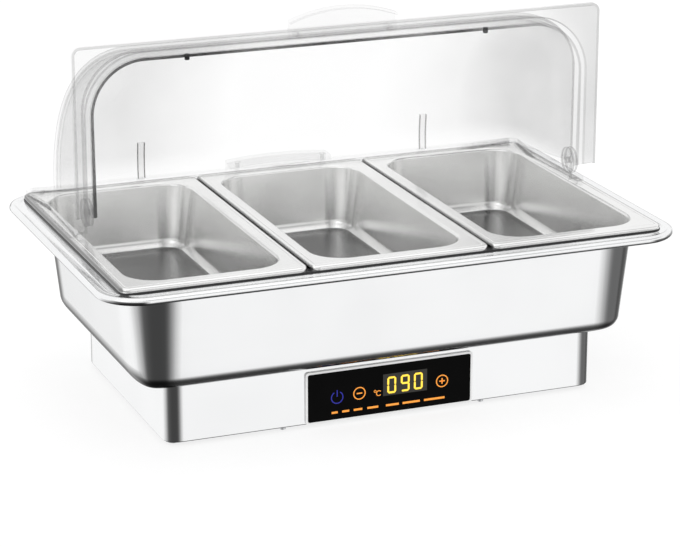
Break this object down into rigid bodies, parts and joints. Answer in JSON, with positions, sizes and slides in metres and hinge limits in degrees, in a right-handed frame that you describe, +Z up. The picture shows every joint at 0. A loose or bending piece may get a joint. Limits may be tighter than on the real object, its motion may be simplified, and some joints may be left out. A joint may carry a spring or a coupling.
{
  "type": "electric chafing dish",
  "caption": "Long electric buffet warmer: a steel base with a lit touch panel, a tapered water pan, lift-out food pans and a clear roll-top cover with a hinged front half.",
  "frame": {"origin": "on the floor under the middle of the water pan's rim", "axes": "+X along the long side, towards the right pan; +Y towards the rear, away from the control panel; +Z up"},
  "size_m": [0.566, 0.358, 0.3708],
  "materials": {
    "bright_steel": "mirror polished stainless steel",
    "satin_steel": "satin stainless steel with bright rims",
    "plain_steel": "mill finish steel sheet and tube",
    "zinc_steel": "zinc plated",
    "clear_sheet": "clear polycarbonate, glossy",
    "black_glass": "glossy black glass with lit marks",
    "white_bezel": "white, glossy",
    "black_plastic": "moulded, matte",
    "rubber": "matte rubber",
    "silicone": "smooth black silicone",
    "aluminium": "milled",
    "ceramic": "white glazed ceramic",
    "mineral_wool": "loose fibre mat",
    "circuit_board": "green solder mask",
    "copper": "bare copper alloy",
    "amber_lens": "translucent amber",
    "wire_cover": "silicone wire covers"
  },
  "bodies": {
    "base_unit": {"base_housing": "bright_steel", "water_pan": "bright_steel", "bottom_plate": "plain_steel", "heat_shield": "plain_steel", "temperature_probe": "plain_steel", "heater_tube": "plain_steel", "plate_screws": "zinc_steel", "foot_screws": "zinc_steel", "foot_nuts": "zinc_steel", "pan_studs": "zinc_steel", "pan_nuts": "zinc_steel", "heater_clamps": "zinc_steel", "clamp_screws": "zinc_steel", "shield_rivets": "zinc_steel", "cutout_screws": "zinc_steel", "probe_clip": "zinc_steel", "probe_screw": "zinc_steel", "board_standoffs": "zinc_steel", "board_screws": "zinc_steel", "power_standoffs": "zinc_steel", "power_screws": "zinc_steel", "inlet_screws": "zinc_steel", "earth_stud": "zinc_steel", "earth_nut": "zinc_steel", "control_glass": "black_glass", "panel_bezel": "white_bezel", "thermal_cutout": "black_plastic", "display_module": "black_plastic", "power_relay": "black_plastic", "power_inlet": "black_plastic", "rubber_feet": "rubber", "pan_seal": "silicone", "heat_spreader": "aluminium", "heater_ends": "ceramic", "insulation_pad": "mineral_wool", "control_board": "circuit_board", "power_board": "circuit_board", "terminal_block": "circuit_board", "touch_springs": "copper", "transformer": "copper", "inlet_pins": "copper", "bar_lights": "amber_lens", "mains_wires": "wire_cover", "heater_wires": "wire_cover", "ribbon_cable": "wire_cover"},
    "pan_left": {"food_pan_left": "satin_steel"},
    "pan_middle": {"food_pan_middle": "satin_steel"},
    "pan_right": {"food_pan_right": "satin_steel"},
    "rear_cover": {"rear_cover": "clear_sheet", "rear_handle": "clear_sheet", "rear_rivets": "clear_sheet", "hinge_pins": "clear_sheet", "hinge_caps": "clear_sheet"},
    "front_cover": {"front_cover": "clear_sheet", "front_handle": "clear_sheet", "front_rivets": "clear_sheet"}
  },
  "joints": [
    {"name": "middle_pan_lift", "type": "slide", "parent": "base_unit", "child": "pan_middle", "axis": [0, 0, 1], "range_m": [0, 0.08]},
    {"name": "left_pan_lift", "type": "slide", "parent": "base_unit", "child": "pan_left", "axis": [0, 0, 1], "range_m": [0, 0.08]},
    {"name": "right_pan_lift", "type": "slide", "parent": "base_unit", "child": "pan_right", "axis": [0, 0, 1], "range_m": [0, 0.08]},
    {"name": "cover_lift", "type": "slide", "parent": "pan_middle", "child": "rear_cover", "axis": [0, 0, 1], "range_m": [0, 0.1]},
    {"name": "cover_roll", "type": "hinge", "parent": "rear_cover", "child": "front_cover", "pos_m": [0, 0, 0.1928], "axis": [1, 0, 0], "range_deg": [0, 90]}
  ],
  "couplings": [
    {"joint": "left_pan_lift", "follows": "middle_pan_lift", "ratio": 1},
    {"joint": "right_pan_lift", "follows": "middle_pan_lift", "ratio": 1}
  ]
}
